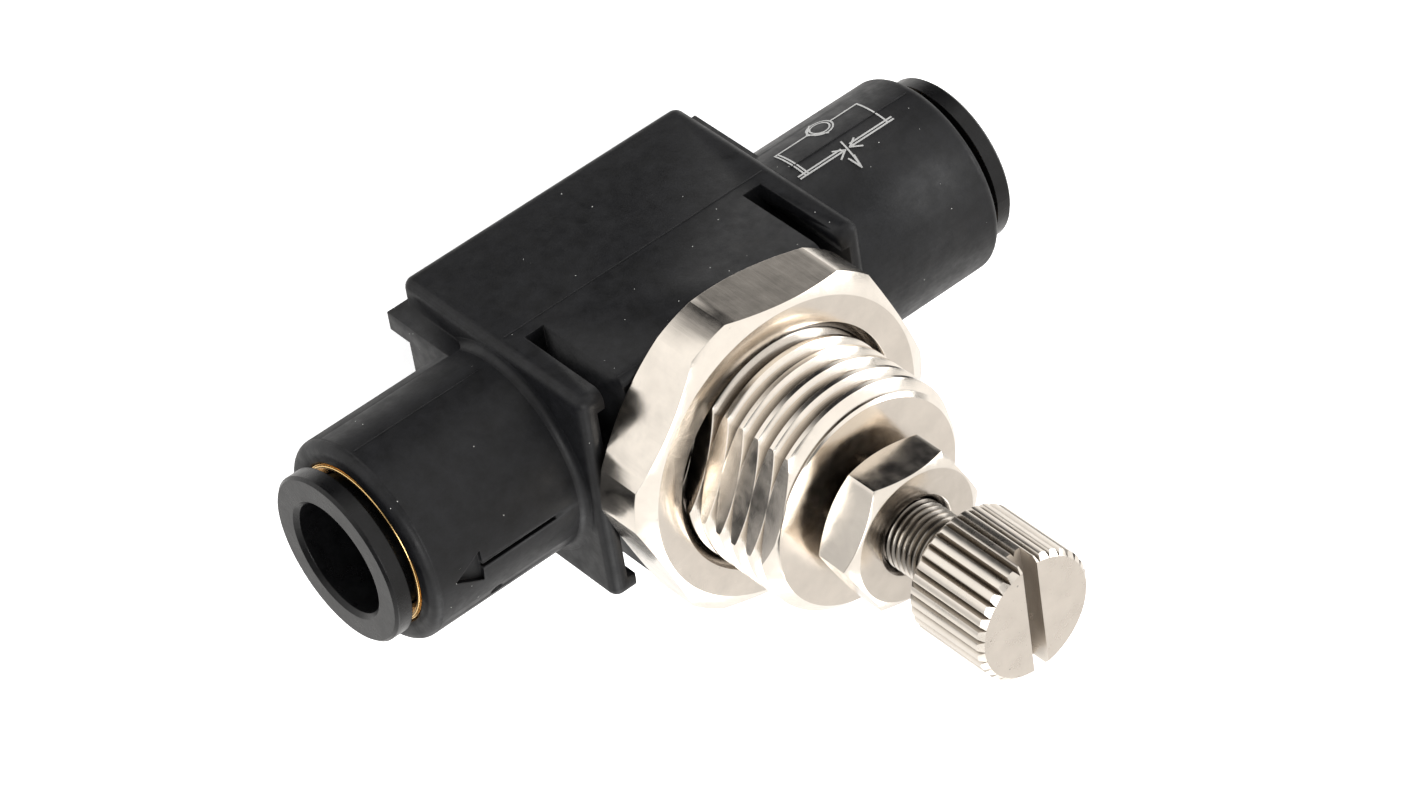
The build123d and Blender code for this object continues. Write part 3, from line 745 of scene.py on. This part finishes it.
class VALVE_OT_knob(bpy.types.Operator):
    """Roll the knob's straight ridges and saw its slot"""
    bl_idname = "valve.knob"
    bl_label = "Knob"

    def execute(self, context):
        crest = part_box("knob")[1].x
        ridges, ridge_depth, taper, proud = 32, 0.42 * MM, 0.36 * MM, 0.01 * MM
        slot_half, slot_depth = 0.6 * MM, 1.5 * MM
        step = 2 * pi / ridges
        corners = []
        half_ridge = ((0.15, 0.14), (0.21, 0.03), (0.32, 0.0))   # share of a step, millimetres down
        shape = [(0.0, crest - ridge_depth)] + [(share, crest - drop * MM) for share, drop in half_ridge]
        shape += [(1 - share, crest - drop * MM) for share, drop in reversed(half_ridge)]
        for i in range(ridges):
            for share, radius in shape:
                angle = (i + share) * step
                corners.append((radius * cos(angle), radius * sin(angle), KNOB_LOW))
        star = outline("knob_turning", corners + corners[:1])
        edit(star)
        bpy.ops.mesh.select_all(action="SELECT")
        bpy.ops.mesh.remove_doubles(threshold=WELD)
        bpy.ops.mesh.edge_face_add()
        bpy.ops.mesh.extrude_region_move(TRANSFORM_OT_translate={"value": (0, 0, KNOB_HIGH - KNOB_LOW)})
        done()
        tidy_shell(star)
        envelope = turned("envelope", [
            (0, KNOB_LOW), (crest - taper, KNOB_LOW), (crest + proud, KNOB_LOW + taper),
            (crest + proud, KNOB_HIGH - taper), (crest - taper, KNOB_HIGH), (0, KNOB_HIGH)], 128)
        combine(star, envelope, "INTERSECT")
        tidy_shell(star, LOOSE_WELD)
        slot = block("slot", (-slot_half, -crest - THROUGH, KNOB_HIGH - slot_depth),
                     (slot_half, crest + THROUGH, KNOB_HIGH + THROUGH))
        combine(star, slot, "DIFFERENCE")
        tidy_shell(star, LOOSE_WELD)
        finish(star, finishes["knob"], "screw", "nickel_plate", "knob", angle=34)
        return {"FINISHED"}


class VALVE_OT_nuts(bpy.types.Operator):
    """Give the two nuts their brushed flats and broken edges"""
    bl_idname = "valve.nuts"
    bl_label = "Nuts"

    def execute(self, context):
        broken_edge = 0.045 * MM
        for node, metal in (("panel_nut", "nut"), ("lock_nut", "lock")):
            nut = copy_node(node, node + "_turning")
            apply(nut, "BEVEL", width=broken_edge, segments=2, limit_method="ANGLE", angle_limit=radians(22))
            finish(nut, finishes[metal], node, "nickel_plate", node, angle=16)
        return {"FINISHED"}


# ---------------------------------------------------------------- stage

class VALVE_OT_stage(bpy.types.Operator):
    """Set the floor, the lights and the camera"""
    bl_idname = "valve.stage"
    bl_label = "Stage"

    def execute(self, context):
        room, gap = 4.0, 0.02 * MM
        bpy.ops.object.select_all(action="DESELECT")
        bpy.ops.mesh.primitive_plane_add(size=room, location=(0, 0, -gap))
        floor = bpy.context.object
        floor.name = "floor"
        n = Nodes("floor_paper")
        n.set(Base_Color=(0.9, 0.9, 0.9, 1), Roughness=0.9,
              Emission_Color=(1, 1, 1, 1), Emission_Strength=0.9)
        floor.data.materials.append(n.material)
        floor.visible_glossy = False
        settle(floor)
        self.surroundings(context)
        self.lights()
        self.camera(context)
        context.scene.view_settings.view_transform = "Standard"
        return {"FINISHED"}

    def surroundings(self, context):
        """A white tent with soft dark and grey cards: direction, full and faded half angles, colour."""
        tent = (1.2, 1.18, 1.15, 1)
        cards = (((-0.42, 0.66, 0.62), 14, 38, (0.86, 0.83, 0.80)),
                 ((0.80, 0.05, -0.60), 8, 20, (0.66, 0.65, 0.64)),
                 ((-0.36, -0.74, -0.57), 12, 38, (0.015, 0.015, 0.017)),
                 ((-0.90, -0.15, 0.20), 9, 26, (0.05, 0.05, 0.05)),
                 ((0.42, -0.66, 0.62), 14, 32, (0.06, 0.06, 0.06)),
                 ((1.0, 0.1, 0.25), 14, 36, (0.03, 0.03, 0.03)),
                 ((0.60, -0.26, 0.755), 8, 18, (0.07, 0.06, 0.05)))
        world = bpy.data.worlds.new("studio")
        context.scene.world = world
        world.use_nodes = True
        tree = world.node_tree
        place = tree.nodes.new("ShaderNodeTexCoord").outputs["Generated"]
        colour = None
        for direction, full, faded, tone in cards:
            near = tree.nodes.new("ShaderNodeVectorMath")
            near.operation = "DOT_PRODUCT"
            near.inputs[1].default_value = Vector(direction).normalized()
            tree.links.new(place, near.inputs[0])
            share = tree.nodes.new("ShaderNodeMapRange")
            share.interpolation_type = "SMOOTHSTEP"
            share.inputs["From Min"].default_value = cos(radians(faded))
            share.inputs["From Max"].default_value = cos(radians(full))
            tree.links.new(near.outputs["Value"], share.inputs["Value"])
            mix = tree.nodes.new("ShaderNodeMix")
            mix.data_type = "RGBA"
            factor, first, second = [mix.inputs[i] for i in (0, 6, 7)]   # the colour sockets
            tree.links.new(share.outputs["Result"], factor)
            if colour is None:
                first.default_value = tent
            else:
                tree.links.new(colour, first)
            second.default_value = (*tone, 1)
            colour = mix.outputs[2]
        background = tree.nodes["Background"]
        tree.links.new(colour, background.inputs["Color"])
        background.inputs["Strength"].default_value = 1.0

    def lights(self):
        """Three soft boxes: name, place, size and power."""
        middle = Vector((0, 0, 20 * MM))
        softboxes = (("key", (0.30, -0.10, 0.42), 0.26, 1.2),
                     ("side", (-0.42, -0.12, 0.22), 0.24, 0.8),
                     ("rear", (0.05, 0.45, 0.25), 0.30, 0.8))
        for name, place, size, power in softboxes:
            bpy.ops.object.select_all(action="DESELECT")
            bpy.ops.object.light_add(type="AREA", location=place)
            light = bpy.context.object
            light.name = name
            light.data.size = size
            light.data.energy = power
            light.rotation_euler = (Vector(place) - middle).to_track_quat("Z", "Y").to_euler()

    def camera(self, context):
        azimuth, elevation, roll = radians(32.678), radians(38.404), radians(-124.603)
        distance, film_width, lens = 386.4 * MM, 36.0, 149.936   # the last two in millimetres
        aim = Vector((1.777, -2.152, 18.504)) * MM
        back = Vector((sin(azimuth) * cos(elevation), -cos(azimuth) * cos(elevation), sin(elevation)))
        level_up = (Vector((0, 0, 1)) - back.z * back).normalized()
        level_right = level_up.cross(back)
        up = level_up * cos(roll) + level_right * sin(roll)
        right = up.cross(back)
        bpy.ops.object.select_all(action="DESELECT")
        bpy.ops.object.camera_add()
        camera = bpy.context.object
        turned_axes = Matrix((right, up, back)).transposed().to_4x4()
        camera.matrix_world = Matrix.Translation(aim + back * distance) @ turned_axes
        camera.data.sensor_width = film_width
        camera.data.lens = lens
        camera.data.clip_start = 10 * MM
        context.scene.camera = camera


class VALVE_PT_panel(bpy.types.Panel):
    bl_idname = "VALVE_PT_panel"
    bl_label = "Flow Control Valve"
    bl_space_type = "VIEW_3D"
    bl_region_type = "UI"
    bl_category = "Valve"

    def draw(self, context):
        for group in (context.scene.valve_sizes, context.scene.valve_colours):
            for key in group.__annotations__:
                self.layout.prop(group, key)
        for operator in OPERATORS:
            self.layout.operator(operator.bl_idname)


OPERATORS = (VALVE_OT_finishes, VALVE_OT_housing, VALVE_OT_roots, VALVE_OT_print, VALVE_OT_lips,
             VALVE_OT_bonnet, VALVE_OT_screw, VALVE_OT_knob, VALVE_OT_nuts, VALVE_OT_stage)
CLASSES = (ValveSizes, ValveColours) + OPERATORS + (VALVE_PT_panel,)


def register():
    for item in CLASSES:
        bpy.utils.register_class(item)
    bpy.types.Scene.valve_sizes = PointerProperty(type=ValveSizes)
    bpy.types.Scene.valve_colours = PointerProperty(type=ValveColours)


def unregister():
    del bpy.types.Scene.valve_colours
    del bpy.types.Scene.valve_sizes
    for item in reversed(CLASSES):
        bpy.utils.unregister_class(item)


def main():
    register()
    bpy.ops.valve.finishes()
    bpy.ops.valve.housing()
    bpy.ops.valve.roots()
    bpy.ops.valve.print()
    bpy.ops.valve.lips()
    bpy.ops.valve.bonnet()
    bpy.ops.valve.screw()
    bpy.ops.valve.knob()
    bpy.ops.valve.nuts()
    bpy.ops.valve.stage()


if __name__ == "__main__":
    main()
